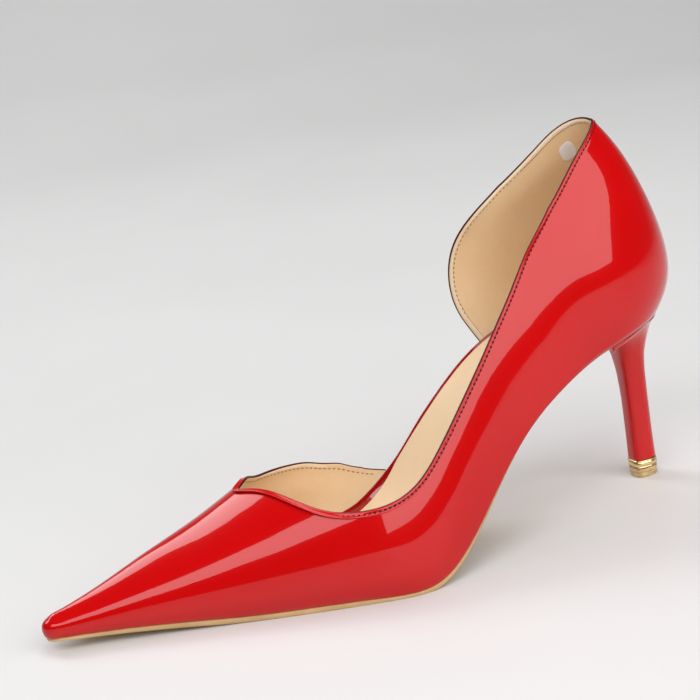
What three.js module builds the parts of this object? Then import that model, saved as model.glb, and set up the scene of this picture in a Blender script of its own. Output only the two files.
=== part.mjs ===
// A woman's pointed stiletto pump, left foot, cut away on the inner side between vamp and counter.
// Millimetres, +Z up. Toe toward -Y, heel toward +Y, outer (closed) side toward +X.
// Every piece is worked out from the sections of one last: its bottom line, its plan at the
// feather edge, its widest line, and the height and lean of each cross-section.
import * as THREE from 'three';

// ---- named sizes -------------------------------------------------------------------------
const WALL = 2.0;            // upper with its lining
const GAP = 0.3;             // clearance between pieces that meet
const TOE_Y = 6;             // the sections fan round the toe in front of this station
const HEEL_Y = 207;          // and round the back of the heel behind this one
const FRONT_STATION = 0;
const BACK_STATION = 247;    // HEEL_Y + 40: a quarter turn
const THROAT = 75;           // station of the front of the opening, on the ridge
const TIP_ROUND = 20;        // how bluntly the tables run out at the toe
const CENTRE_X = 3.13;       // middle of the bounding box in the tables' frame
const CENTRE_Y = 123.375;
const ROWS = 9;              // facets up the wall

// ---- bottom of the last, seen from the side: the wall stands on this line ------------------
// y from the toe tip, z above the floor in the middle of the sole, twist = how much higher the
// inner edge is than the outer one across a 50 mm width
const BOTTOM = {
  columns: ['y', 'z', 'twist'],
  rows: [
    [0, 5.9, 0], [18, 5.1, 0], [40, 4.0, 0], [62, 2.4, 0], [84, 2.0, 0], [102, 2.2, 0.8],
    [113, 3.4, 3.0], [125, 7.8, 7.0], [138, 17.8, 11.0], [152, 31.1, 13.2], [168, 44.9, 11.9],
    [185, 54.0, 8.1], [205, 59.7, 3.2], [225, 62.8, 1.0], [246, 63.9, 0],
  ],
};

// ---- cross-sections of the last ----------------------------------------------------------
// foot: feather edge, wide: widest line and its height, top: shoulder and its height,
// ridge: crest (behind the throat it only shapes the walls); o = outer side, i = inner side,
// lean: degrees that the section leans toward the toe
const SECTIONS = {
  columns: ['y', 'footO', 'footI', 'wideO', 'wideI', 'wideH', 'topO', 'topI', 'topH', 'ridgeX', 'ridgeH', 'lean'],
  rows: [
    [6,   -5.2, -13.2, -4.0, -14.4,  3.1, -6.4, -12.0,  5.9, -9.2,   8.2,  0],
    [20,   0.0, -17.3,  1.7, -19.0,  4.6, -2.5, -13.8,  9.8, -8.8,  13.2,  0],
    [40,   8.5, -23.0, 10.9, -25.4,  7.3,  3.3, -15.9, 16.5, -8.0,  22.2,  0],
    [60,  17.2, -28.6, 20.2, -31.4,  9.2, 10.2, -17.6, 23.9, -7.0,  31.2,  0],
    [80,  26.6, -32.4, 30.2, -35.7, 10.6, 17.3, -19.2, 31.3, -6.0,  41.6,  0],
    [100, 35.4, -33.2, 39.0, -37.4, 11.8, 24.0, -22.3, 39.4, -5.0,  49.0,  0],
    [118, 41.0, -28.8, 43.4, -35.2, 13.0, 26.6, -23.2, 46.0, -4.0,  57.0,  2],
    [136, 38.8, -22.6, 39.8, -31.0, 15.0, 21.6, -21.8, 50.5, -3.3,  72.0,  5],
    [155, 32.8, -19.8, 33.4, -30.0, 17.3, 14.0, -19.5, 53.0, -2.6,  92.0,  8],
    [175, 29.0, -20.6, 29.2, -31.0, 19.5,  8.0, -17.4, 54.0, -2.0, 108.6, 10],
    [192, 27.0, -22.0, 27.8, -31.0, 21.2,  6.6, -17.0, 54.2, -1.5, 116.6, 11.5],
    [207, 25.6, -22.6, 28.6, -30.0, 21.2,  9.6, -19.6, 53.3, -1.0, 119.2, 12],
  ],
};
// the same lines on the centre plane: distance in front of TOE_Y and behind HEEL_Y
const TOE_END = { foot: 4.4, wide: 5.7, wideH: 3.1, top: 3.0, topH: 5.4 };
const HEEL_END = { foot: 32.0, wide: 45.4, wideH: 20.0, top: 34.5, topH: 73.3 };

// ---- layers under the foot ----------------------------------------------------------------
// insole with its heel pad; outsole, thinner and set in from the feather edge toward the heel
const INSOLE = {
  columns: ['y', 'thick'],
  rows: [[0, 1.3], [12, 2.1], [28, 2.9], [100, 3.0], [125, 3.3], [150, 4.0], [175, 5.0], [200, 6.2], [225, 6.4], [242, 5.6]],
};
const OUTSOLE = {
  columns: ['y', 'thick', 'inset'],
  rows: [[0, 1.15, 0.1], [18, 1.5, 0.1], [45, 1.9, 0.1], [125, 1.9, 0.1], [145, 1.8, 0.4], [165, 1.5, 1.1], [185, 1.2, 1.5], [208, 1.1, 1.6]],
};

// ---- top edge of the upper ---------------------------------------------------------------
// foot: station on the feather edge below, along: station of the edge itself,
// up: how far up that section it lies (0 feather edge, 1 crest)
const OUTER_EDGE = {
  columns: ['foot', 'along', 'up'],
  rows: [
    [75, 75, 1], [75.5, 75.5, 0.982], [77, 77, 0.95], [81.7, 81.7, 0.862], [87.6, 87.6, 0.722],
    [95.3, 95.3, 0.583], [107, 107, 0.512], [120, 120, 0.496], [132, 132, 0.48], [143.2, 143.2, 0.457],
    [153.8, 153.8, 0.436], [163.6, 163.6, 0.43], [173.6, 173.6, 0.447], [184.7, 184.7, 0.493],
    [197, 197, 0.585], [209.9, 209.9, 0.679], [221, 221, 0.715], [232, 232, 0.712],
    [247, 247, 0.698],
  ],
};
const VAMP_EDGE = {          // inner side, from the throat to the corner of the cut-out
  columns: ['foot', 'along', 'up'],
  rows: [
    [75, 75, 1], [76, 75.5, 0.982], [78, 77, 0.96], [81, 79, 0.929], [84, 81, 0.878],
    [87.5, 83.3, 0.809], [91, 86, 0.733], [96, 89.5, 0.659], [101, 95, 0.587], [107, 102, 0.511],
    [113, 110, 0.429], [118, 116.5, 0.342], [123, 122.5, 0.257], [126.3, 126.1, 0.185],
    [130, 129.8, 0.11],
  ],
};
const VAMP_CORNER_FOOT = 136;   // where the cut-out reaches the sole behind the vamp
const WING_EDGE = {          // inner side, from the sole up the counter to the back seam
  columns: ['foot', 'along', 'up'],
  rows: [
    [181.5, 181.5, 0], [184, 180.2, 0.078], [186.5, 179.1, 0.147], [189, 178.8, 0.219],
    [191.5, 179.5, 0.293], [194, 181.3, 0.369], [197, 184.6, 0.449], [200.5, 189.6, 0.531],
    [205, 196.0, 0.606], [210, 204.2, 0.665], [216, 212.2, 0.706], [223, 220.5, 0.726],
    [230, 228.8, 0.731], [238, 238, 0.718], [247, 247, 0.698],
  ],
};

// ---- heel: cross-sections of the stiletto below the seat ----------------------------------
const HEEL = {
  columns: ['z', 'rise', 'front', 'back', 'halfWidth'],   // rise: how much higher its back is than its front
  rows: [
    [60.1, 4.6, 215.4, 237.3, 17.0], [57.2, 2.9, 218.0, 236.2, 12.5], [53.8, 1.6, 220.1, 235.1, 8.9],
    [49.5, 0.8, 221.6, 234.1, 6.6], [45.0, 0.3, 222.4, 233.2, 5.2], [38.0, 0, 223.1, 232.8, 4.4],
    [28.0, 0, 223.4, 232.7, 4.0], [16.0, 0, 223.3, 232.6, 4.0], [6.8, 0, 223.2, 232.7, 4.3],
  ],
};
const HEEL_X = 0.4;
const BREAST_Y = 207;        // front corners of the heel seat
const BREAST_HOLLOW = 11.5;  // how far back the heel breast is hollowed in the middle
const FERRULE = { bottom: 3.6, top: 6.5, front: 223.0, back: 232.9, halfWidth: 4.5 };
const LIFT = { bottom: 0, top: 3.3, front: 223.2, back: 232.7, halfWidth: 4.3 };

// ---- curves through the tables ------------------------------------------------------------
// natural cubic through the rows; flatEnd makes it leave the last row level
function spline(xs, ys, flatEnd = false) {
  const n = xs.length;
  const h = xs.slice(1).map((x, i) => x - xs[i]);
  const a = new Array(n).fill(0), b = new Array(n).fill(1), c = new Array(n).fill(0), d = new Array(n).fill(0);
  for (let i = 1; i < n - 1; i++) {
    a[i] = h[i - 1]; b[i] = 2 * (h[i - 1] + h[i]); c[i] = h[i];
    d[i] = 6 * ((ys[i + 1] - ys[i]) / h[i] - (ys[i] - ys[i - 1]) / h[i - 1]);
  }
  if (flatEnd) { a[n - 1] = h[n - 2]; b[n - 1] = 2 * h[n - 2]; d[n - 1] = -6 * (ys[n - 1] - ys[n - 2]) / h[n - 2]; }
  for (let i = 1; i < n; i++) { const w = a[i] / b[i - 1]; b[i] -= w * c[i - 1]; d[i] -= w * d[i - 1]; }
  const m = new Array(n).fill(0);
  m[n - 1] = d[n - 1] / b[n - 1];
  for (let i = n - 2; i >= 0; i--) m[i] = (d[i] - c[i] * m[i + 1]) / b[i];
  return (x) => {
    const q = Math.min(Math.max(x, xs[0]), xs[n - 1]);
    let i = 0;
    while (i < n - 2 && q > xs[i + 1]) i++;
    const t = q - xs[i], s = xs[i + 1] - q, H = h[i];
    return (m[i] * s ** 3 + m[i + 1] * t ** 3) / (6 * H)
      + (ys[i] / H - m[i] * H / 6) * s + (ys[i + 1] / H - m[i + 1] * H / 6) * t;
  };
}
const column = (table, name) => table.rows.map((r) => r[table.columns.indexOf(name)]);
const reach = (y) => Math.sqrt(y * y + 2 * TIP_ROUND * y);   // runs out like a root at the toe tip
const lastAt = {};
for (const name of SECTIONS.columns.slice(1)) {
  const f = spline(column(SECTIONS, 'y').map(reach), column(SECTIONS, name), true);
  lastAt[name] = (y) => f(reach(y));
}
const bottomZ = spline(column(BOTTOM, 'y'), column(BOTTOM, 'z'));
const bottomTwist = spline(column(BOTTOM, 'y'), column(BOTTOM, 'twist'));
const inLast = (y) => Math.min(Math.max(y, TOE_Y), HEEL_Y);
function floorAt(x, y) {
  const mid = (lastAt.footO(inLast(y)) + lastAt.footI(inLast(y))) / 2;
  return bottomZ(y) - bottomTwist(y) * (x - mid) / 50;
}
function edgeCurve(table) {
  const t = table.rows.map((_, i) => i);
  const parts = table.columns.map((name) => spline(t, column(table, name)));
  return (s) => parts.map((f) => f(s * (t.length - 1)));
}

// ---- one point of the last's surface -------------------------------------------------------
// side +1 outer, -1 inner; up 0 at the feather edge, 1 on the crest; inset = distance inside
const KNOTS = [0, 0, 0, 0, 1, 2, 3, 4, 5, 6, 7];
function controlRing(station, side, inset) {
  const y = inLast(station);
  const v = {};
  for (const name in lastAt) v[name] = lastAt[name](y);
  const [own, other] = side > 0 ? ['O', 'I'] : ['I', 'O'];
  const turn = station < TOE_Y ? (station - TOE_Y) / TOE_Y : Math.max(0, station - HEEL_Y) / (BACK_STATION - HEEL_Y);
  const ca = Math.cos(turn * Math.PI / 2), sa = Math.sin(turn * Math.PI / 2), q = sa * sa;
  const end = station < TOE_Y ? TOE_END : HEEL_END;
  const wideH = v.wideH * (1 - q) + end.wideH * q, topH = v.topH * (1 - q) + end.topH * q;
  const half = (name) => side * (v[name + own] - v.ridgeX);
  const mix = (a, b, t) => a + (b - a) * t;
  const rows = (foot, wide, top) => [foot, mix(foot, wide, 0.62), wide, mix(wide, top, 0.30), top];
  const rx = rows(half('foot'), half('wide'), half('top'));
  const ry = rows(end.foot, end.wide, end.top);
  const h = [0, 0.32 * wideH, wideH, mix(wideH, topH, 0.62), topH, v.ridgeH];
  // slope of the plan outline, so that the wall keeps its thickness where the plan tapers
  const slope = (lastAt['foot' + own](Math.min(y + 1, HEEL_Y)) - lastAt['foot' + own](Math.max(y - 1, TOE_Y))) / 2;
  const ease = turn === 0 ? Math.min(1, (y - TOE_Y) / 10) * Math.min(1, (HEEL_Y - y) / 10) : 0;
  const k = 1 + (Math.sqrt(1 + slope * slope) - 1) * ease;
  const r = rx.map((x, i) => x * (1 - q) + ry[i] * q);
  const normal = (i, j) => { const dr = r[i] - (r[j] ?? 0), dh = h[j] - h[i], l = Math.hypot(dr, dh); return [dh / l, dr / l]; };
  const n = [[1, 0], [1, 0], [1, 0], normal(2, 4), normal(3, 5)];
  const lean = v.lean * Math.PI / 180, dir = Math.sign(turn);
  const place = (x, py, height, lift) => new THREE.Vector3(x, py - height * Math.sin(lean), floorAt(x, lift) + height * Math.cos(lean));
  const ring = [];
  for (let i = 0; i < 5; i++) {
    const px = v.ridgeX + side * (rx[i] - inset * k * n[i][0]) * ca;
    const py = y + dir * (ry[i] - inset * n[i][0]) * Math.abs(sa);
    ring.push(place(px, py, h[i] - inset * n[i][1], y + dir * ry[i] * Math.abs(sa)));
  }
  ring.push(place(v.ridgeX, y, v.ridgeH - inset * 1.08, y));
  const shoulder = ring[4], across = -side * (v['top' + other] - v.ridgeX) - inset * k * n[4][0];
  ring.push(turn === 0
    ? place(v.ridgeX - side * across, y, topH - inset * n[4][1], y)
    : new THREE.Vector3(2 * v.ridgeX - shoulder.x, 2 * (y - (h[4] - inset * n[4][1]) * Math.sin(lean)) - shoulder.y, shoulder.z));
  return ring;
}
function lastPoint(station, side, up, inset = 0) {
  const d = controlRing(station, side, inset);
  const x = Math.min(Math.max(up, 0), 1) * 4;
  const i = Math.min(Math.floor(x), 3) + 3;
  const w = [d[i - 3], d[i - 2], d[i - 1], d[i]].map((p) => p.clone());
  for (let r = 1; r <= 3; r++) {
    for (let j = 3; j >= r; j--) {
      const a = (x - KNOTS[j + i - 3]) / (KNOTS[j + 1 + i - r] - KNOTS[j + i - 3]);
      w[j].lerpVectors(w[j - 1], w[j], a);
    }
  }
  return w[3];
}

// ---- meshes --------------------------------------------------------------------------------
function solid(points, triangles) {
  const flat = [];
  for (const p of points) flat.push(p.x - CENTRE_X, p.y - CENTRE_Y, p.z);
  const geometry = new THREE.BufferGeometry();
  geometry.setAttribute('position', new THREE.Float32BufferAttribute(flat, 3));
  geometry.setIndex(triangles.flat());
  geometry.computeVertexNormals();
  return geometry;
}
// a sheet given as a skin of [a, b, c] triangles, thickened between its two faces
function thicken(outer, inner, skin) {
  const n = outer.length, triangles = [], edges = new Map();
  for (const [a, b, c] of skin) {
    triangles.push([a, b, c], [c + n, b + n, a + n]);
    for (const [p, q] of [[a, b], [b, c], [c, a]]) {
      if (edges.has(q + ',' + p)) edges.delete(q + ',' + p);
      else edges.set(p + ',' + q, [p, q]);
    }
  }
  for (const [p, q] of edges.values()) triangles.push([q, p, p + n], [q, p + n, q + n]);
  return solid([...outer, ...inner], triangles);
}

// ---- upper: outer and inner sides meet on the crest, at the toe and at the back -------------
function upperGeometry() {
  const ids = new Map(), outer = [], inner = [], skin = [];
  const vertex = (side, station, up) => {
    const seam = (up > 0.9999 && station <= THROAT) || station <= FRONT_STATION || station >= BACK_STATION - 1e-6;
    const s = seam ? 1 : side, st = up > 0.9999 ? Math.max(station, TOE_Y) : station;
    const key = [s, st.toFixed(3), up.toFixed(4)].join(' ');
    if (!ids.has(key)) {
      ids.set(key, outer.length);
      outer.push(lastPoint(st, s, up));
      inner.push(lastPoint(st, s, up, WALL));
    }
    return ids.get(key);
  };
  const sheet = (side, columns) => {
    const grid = columns.map(([foot, along, up]) => {
      const line = [];
      for (let j = 0; j <= ROWS; j++) { const t = j / ROWS; line.push(vertex(side, foot + (along - foot) * t, up * t)); }
      return line;
    });
    for (let i = 0; i + 1 < grid.length; i++) {
      for (let j = 0; j < ROWS; j++) {
        const quad = [grid[i][j], grid[i + 1][j], grid[i + 1][j + 1], grid[i][j + 1]];
        if (side < 0) quad.reverse();
        for (const tri of [[quad[0], quad[1], quad[2]], [quad[0], quad[2], quad[3]]]) {
          if (new Set(tri).size === 3) skin.push(tri);
        }
      }
    }
  };
  const vamp = [0, 1.5, 3, 4.5, 6, 8.5, 12, 17, 24, 33, 43, 54, 65, THROAT].map((s) => [s, s, 1]);
  const outerEdge = edgeCurve(OUTER_EDGE), vampEdge = edgeCurve(VAMP_EDGE), wingEdge = edgeCurve(WING_EDGE);
  const along = (curve, steps) => Array.from({ length: steps }, (_, i) => curve((i + 1) / steps));
  sheet(1, [...vamp, ...along(outerEdge, 34)]);
  const corner = vampEdge(1);
  const cut = [1, 2, 3].map((i) => {
    const t = i / 3;
    return [corner[0] + (VAMP_CORNER_FOOT - corner[0]) * t, corner[1] + (VAMP_CORNER_FOOT - corner[1]) * t ** 0.8, corner[2] * (1 - t)];
  });
  sheet(-1, [...vamp, ...along(vampEdge, 20), ...cut]);
  sheet(-1, [wingEdge(0), ...along(wingEdge, 22)]);
  return thicken(outer, inner, skin);
}

// ---- sole pieces: rows across the last's bottom ---------------------------------------------
// bow pushes the middle of a row back, for the hollow of the heel breast
function acrossRow(station, cells, inset, bow = 0) {
  const o = lastPoint(station, 1, 0, inset), i = lastPoint(station, -1, 0, inset), row = [];
  for (let k = 0; k <= cells; k++) {
    const t = k / cells, e = 2 * t - 1;
    const x = i.x + (o.x - i.x) * t, y = i.y + (o.y - i.y) * t + bow * (1 - e * e);
    row.push(new THREE.Vector3(x, y, floorAt(x, y)));
  }
  return row;
}
// slab between two heights above the last's bottom; rows may close to a point at the ends
function slab(rows, lowAt, highAt, ground = -Infinity, topRows = rows) {
  const top = [], under = [], skin = [], ids = rows.map(() => []);
  rows.forEach((row, i) => {
    const closed = row[0].distanceTo(row[row.length - 1]) < 0.01;
    row.forEach((p, k) => {
      if (closed && k > 0) { ids[i].push(ids[i][0]); return; }
      ids[i].push(top.length);
      const t = topRows[i][k];
      top.push(new THREE.Vector3(t.x, t.y, t.z + highAt(t.y)));
      under.push(new THREE.Vector3(p.x, p.y, Math.max(p.z + lowAt(p.y), ground)));
    });
  });
  for (let i = 0; i + 1 < rows.length; i++) {
    for (let k = 0; k + 1 < rows[i].length; k++) {
      const quad = [ids[i][k], ids[i][k + 1], ids[i + 1][k + 1], ids[i + 1][k]];
      for (const tri of [[quad[0], quad[1], quad[2]], [quad[0], quad[2], quad[3]]]) {
        if (new Set(tri).size === 3) skin.push(tri);
      }
    }
  }
  return thicken(top, under, skin);
}
const FOREPART = [0, 1.5, 3, 4.5, 6, 8.5, 12, 17, 24, 33, 43, 54, 65, 76, 87, 98, 107, 115, 122, 129, 136, 143, 150, 157, 164, 171, 178, 185, 192, 199];
const SEAT = [207, 212, 218, 224, 230, 235, 239, 243, 247];

const tableAt = (table, name) => spline(column(table, 'y'), column(table, name));
const insoleThick = tableAt(INSOLE, 'thick'), outsoleThick = tableAt(OUTSOLE, 'thick'), outsoleInset = tableAt(OUTSOLE, 'inset');

// its top edge draws in where the wall leans over it
function insoleGeometry() {
  const rows = [...FOREPART, ...SEAT].map((s) => acrossRow(s, 6, WALL + GAP + 0.1));
  const leanIn = (station, side) => {
    const foot = lastPoint(station, side, 0, WALL + GAP + 0.1);
    let up = 0, p = foot;
    while (up < 0.5 && p.z < foot.z + insoleThick(foot.y)) { up += 0.005; p = lastPoint(station, side, up, WALL + GAP + 0.1); }
    return Math.max(0, side * (foot.x - p.x)) + (p.x === foot.x ? 0 : 0.05);
  };
  const tops = [...FOREPART, ...SEAT].map((s, i) => {
    const row = rows[i], o = row[6], q = row[0], half = o.x - q.x;
    if (half < 0.01 || s >= SEAT[SEAT.length - 2]) return row;
    const dO = leanIn(s, 1), dI = leanIn(s, -1);
    return row.map((p) => {
      const t = (p.x - q.x) / half, x = q.x + dI + (half - dO - dI) * t;
      return new THREE.Vector3(x, p.y, floorAt(x, p.y));
    });
  });
  return slab(rows, () => 0, insoleThick, -Infinity, tops);
}

function outsoleGeometry() {
  const rows = FOREPART.map((s) => acrossRow(s, 6, outsoleInset(s)));
  rows.push(acrossRow(203.5, 6, outsoleInset(203.5), BREAST_HOLLOW * 0.5), acrossRow(BREAST_Y, 6, outsoleInset(BREAST_Y), BREAST_HOLLOW));
  return slab(rows, (y) => -GAP - outsoleThick(y), () => -GAP, 0);
}

// ---- heel -----------------------------------------------------------------------------------
const RING_FRONT = 6, RING_SIDE = 20;      // facets along the breast and round the back
function heelRing(front, back, halfWidth, z, rise = 0) {
  const middle = (front + back) / 2, deep = (back - front) / 2, ring = [];
  const at = (deg) => {
    const c = Math.cos(deg * Math.PI / 180), s = Math.sin(deg * Math.PI / 180), n = s < 0 ? 0.55 : 0.92;
    const along = Math.sign(s) * Math.abs(s) ** n;
    ring.push(new THREE.Vector3(HEEL_X + halfWidth * Math.sign(c) * Math.abs(c) ** n, middle + deep * along, z + rise * along / 2));
  };
  for (let i = 0; i <= RING_FRONT; i++) at(225 + 90 * i / RING_FRONT);
  for (let i = 1; i < RING_SIDE; i++) at(315 + 270 * i / RING_SIDE);
  return ring;
}
function loft(points, rings, triangles) {
  for (let r = 0; r + 1 < rings.length; r++) {
    const n = rings[r].length;
    for (let k = 0; k < n; k++) {
      const l = (k + 1) % n;
      triangles.push([rings[r][k], rings[r + 1][k], rings[r + 1][l]], [rings[r][k], rings[r + 1][l], rings[r][l]]);
    }
  }
  const last = rings[rings.length - 1], centre = points.length;
  const sum = last.reduce((v, id) => v.add(points[id]), new THREE.Vector3()).divideScalar(last.length);
  points.push(sum);
  last.forEach((id, k) => triangles.push([centre, last[(k + 1) % last.length], id]));
}
function heelGeometry() {
  const points = [], triangles = [];
  // seat: rows from the hollow breast to the back
  const stations = [207.5, 211, 214.5, 218, 222, 226, 230, 234, 238, 242, 247];
  const rows = stations.map((s, i) => {
    const bow = BREAST_HOLLOW * Math.max(0, 1 - i / 8) ** 1.2;
    return acrossRow(s, RING_FRONT, 0.2, bow + (i === 0 ? GAP : 0));
  });
  rows.pop();
  const tip = acrossRow(BACK_STATION, RING_FRONT, 0.2)[0];
  const ids = rows.map((row) => row.map((p) => { points.push(new THREE.Vector3(p.x, p.y, p.z - GAP)); return points.length - 1; }));
  points.push(new THREE.Vector3(tip.x, tip.y, tip.z - GAP));
  const tipId = points.length - 1;
  for (let i = 0; i + 1 < ids.length; i++) {
    for (let k = 0; k < RING_FRONT; k++) {
      triangles.push([ids[i][k], ids[i][k + 1], ids[i + 1][k + 1]], [ids[i][k], ids[i + 1][k + 1], ids[i + 1][k]]);
    }
  }
  const lastRow = ids[ids.length - 1];
  for (let k = 0; k < RING_FRONT; k++) triangles.push([lastRow[k], lastRow[k + 1], tipId]);
  // rim of the seat: breast from inner to outer side, outer side to the back, back to the inner side
  const rim = [...ids[0]];
  for (let i = 1; i < ids.length; i++) rim.push(ids[i][RING_FRONT]);
  rim.push(tipId);
  for (let i = ids.length - 1; i > 0; i--) rim.push(ids[i][0]);
  // a short edge straight down under the seat, then the stiletto
  const edgeDrop = (y) => 1.6 - 0.9 * Math.min(1, Math.max(0, (y - 214) / 16));
  const edge = rim.map((id) => {
    const p = points[id];
    points.push(new THREE.Vector3(HEEL_X + (p.x - HEEL_X) * 0.97, p.y - Math.min(0.7, Math.max(0, (p.y - 212) * 0.06)), p.z - edgeDrop(p.y)));
    return points.length - 1;
  });
  const rings = [rim, edge];
  for (const [z, rise, front, back, halfWidth] of HEEL.rows) {
    rings.push(heelRing(front, back, halfWidth, z, rise).map((p) => { points.push(p); return points.length - 1; }));
  }
  loft(points, rings, triangles);
  return solid(points, triangles);
}
function block({ bottom, top, front, back, halfWidth }) {
  const points = [], triangles = [];
  const rings = [heelRing(front, back, halfWidth, top), heelRing(front, back, halfWidth, bottom)]
    .map((ring) => ring.map((p) => { points.push(p); return points.length - 1; }));
  loft(points, rings, triangles);
  const upper = rings[0], centre = points.length;
  points.push(upper.reduce((v, id) => v.add(points[id]), new THREE.Vector3()).divideScalar(upper.length));
  upper.forEach((id, k) => triangles.push([centre, id, upper[(k + 1) % upper.length]]));
  return solid(points, triangles);
}

// ---- assembly -------------------------------------------------------------------------------
const patent = new THREE.MeshStandardMaterial({ color: 0xc40008, roughness: 0.12, metalness: 0 });
const tan = new THREE.MeshStandardMaterial({ color: 0xcfa36a, roughness: 0.55, metalness: 0 });
const gold = new THREE.MeshStandardMaterial({ color: 0xd8b56a, roughness: 0.25, metalness: 1 });
const amber = new THREE.MeshStandardMaterial({ color: 0xc79b4e, roughness: 0.2, metalness: 0 });

const group = new THREE.Group();
const add = (name, geometry, material) => {
  const mesh = new THREE.Mesh(geometry, material);
  mesh.name = name;
  group.add(mesh);
};
add('upper', upperGeometry(), patent);
add('insole', insoleGeometry(), patent);
add('outsole', outsoleGeometry(), tan);
add('heel', heelGeometry(), patent);
add('heel_ferrule', block(FERRULE), gold);
add('heel_lift', block(LIFT), amber);

export default group;
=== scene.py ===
import math
import bpy
import numpy as np
from mathutils import Matrix, Vector


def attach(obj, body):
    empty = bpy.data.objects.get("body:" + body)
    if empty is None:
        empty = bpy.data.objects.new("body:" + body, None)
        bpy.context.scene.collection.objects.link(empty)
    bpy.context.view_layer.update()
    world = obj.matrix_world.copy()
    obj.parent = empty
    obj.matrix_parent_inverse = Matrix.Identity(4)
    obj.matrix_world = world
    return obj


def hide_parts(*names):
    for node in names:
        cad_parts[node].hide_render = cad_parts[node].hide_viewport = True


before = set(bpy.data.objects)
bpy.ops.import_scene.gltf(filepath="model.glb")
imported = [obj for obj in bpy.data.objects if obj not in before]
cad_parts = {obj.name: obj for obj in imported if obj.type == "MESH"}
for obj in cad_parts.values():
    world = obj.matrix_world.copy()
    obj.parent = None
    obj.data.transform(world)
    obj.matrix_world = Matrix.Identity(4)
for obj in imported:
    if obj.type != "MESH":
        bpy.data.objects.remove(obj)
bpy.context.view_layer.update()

MM = 0.001
CX, CY = 3.13, 123.375           # the tables' frame in the row frame
TOE_Y, HEEL_Y, BACK, THROAT = 6.0, 207.0, 247.0, 75.0

# ---------------------------------------------------------------- the last, as in the part
BOTTOM = [
    (0, 5.9, 0), (18, 5.1, 0), (40, 4.0, 0), (62, 2.4, 0), (84, 2.0, 0), (102, 2.2, 0.8),
    (113, 3.4, 3.0), (125, 7.8, 7.0), (138, 17.8, 11.0), (152, 31.1, 13.2), (168, 44.9, 11.9),
    (185, 54.0, 8.1), (205, 59.7, 3.2), (225, 62.8, 1.0), (246, 63.9, 0)]
NAMES = ['y', 'footO', 'footI', 'wideO', 'wideI', 'wideH', 'topO', 'topI', 'topH', 'ridgeX', 'ridgeH', 'lean']
SECTIONS = [
    (6, -5.2, -13.2, -4.0, -14.4, 3.1, -6.4, -12.0, 5.9, -9.2, 8.2, 0),
    (20, 0.0, -17.3, 1.7, -19.0, 4.6, -2.5, -13.8, 9.8, -8.8, 13.2, 0),
    (40, 8.5, -23.0, 10.9, -25.4, 7.3, 3.3, -15.9, 16.5, -8.0, 22.2, 0),
    (60, 17.2, -28.6, 20.2, -31.4, 9.2, 10.2, -17.6, 23.9, -7.0, 31.2, 0),
    (80, 26.6, -32.4, 30.2, -35.7, 10.6, 17.3, -19.2, 31.3, -6.0, 41.6, 0),
    (100, 35.4, -33.2, 39.0, -37.4, 11.8, 24.0, -22.3, 39.4, -5.0, 49.0, 0),
    (118, 41.0, -28.8, 43.4, -35.2, 13.0, 26.6, -23.2, 46.0, -4.0, 57.0, 2),
    (136, 38.8, -22.6, 39.8, -31.0, 15.0, 21.6, -21.8, 50.5, -3.3, 72.0, 5),
    (155, 32.8, -19.8, 33.4, -30.0, 17.3, 14.0, -19.5, 53.0, -2.6, 92.0, 8),
    (175, 29.0, -20.6, 29.2, -31.0, 19.5, 8.0, -17.4, 54.0, -2.0, 108.6, 10),
    (192, 27.0, -22.0, 27.8, -31.0, 21.2, 6.6, -17.0, 54.2, -1.5, 116.6, 11.5),
    (207, 25.6, -22.6, 28.6, -30.0, 21.2, 9.6, -19.6, 53.3, -1.0, 119.2, 12)]
TOE_END = dict(foot=4.4, wide=5.7, wideH=3.1, top=3.0, topH=5.4)
HEEL_END = dict(foot=32.0, wide=45.4, wideH=20.0, top=34.5, topH=73.3)
INSOLE = [(0, 1.3), (12, 2.1), (28, 2.9), (100, 3.0), (125, 3.3), (150, 4.0), (175, 5.0), (200, 6.2), (225, 6.4), (242, 5.6)]
OUTSOLE = [(0, 1.15, .1), (18, 1.5, .1), (45, 1.9, .1), (125, 1.9, .1), (145, 1.8, .4), (165, 1.5, 1.1), (185, 1.2, 1.5), (208, 1.1, 1.6)]
OUTER_EDGE = [
    (75, 75, 1), (75.5, 75.5, 0.982), (77, 77, 0.95), (81.7, 81.7, 0.862), (87.6, 87.6, 0.722),
    (95.3, 95.3, 0.583), (107, 107, 0.512), (120, 120, 0.496), (132, 132, 0.48), (143.2, 143.2, 0.457),
    (153.8, 153.8, 0.436), (163.6, 163.6, 0.43), (173.6, 173.6, 0.447), (184.7, 184.7, 0.493),
    (197, 197, 0.585), (209.9, 209.9, 0.679), (221, 221, 0.715), (232, 232, 0.712), (247, 247, 0.698)]
VAMP_EDGE = [
    (75, 75, 1), (76, 75.5, 0.982), (78, 77, 0.96), (81, 79, 0.929), (84, 81, 0.878),
    (87.5, 83.3, 0.809), (91, 86, 0.733), (96, 89.5, 0.659), (101, 95, 0.587), (107, 102, 0.511),
    (113, 110, 0.429), (118, 116.5, 0.342), (123, 122.5, 0.257), (126.3, 126.1, 0.185), (130, 129.8, 0.11)]
CORNER = 136
WING_EDGE = [
    (181.5, 181.5, 0), (184, 180.2, 0.078), (186.5, 179.1, 0.147), (189, 178.8, 0.219),
    (191.5, 179.5, 0.293), (194, 181.3, 0.369), (197, 184.6, 0.449), (200.5, 189.6, 0.531),
    (205, 196.0, 0.606), (210, 204.2, 0.665), (216, 212.2, 0.706), (223, 220.5, 0.726),
    (230, 228.8, 0.731), (238, 238, 0.718), (247, 247, 0.698)]


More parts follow.
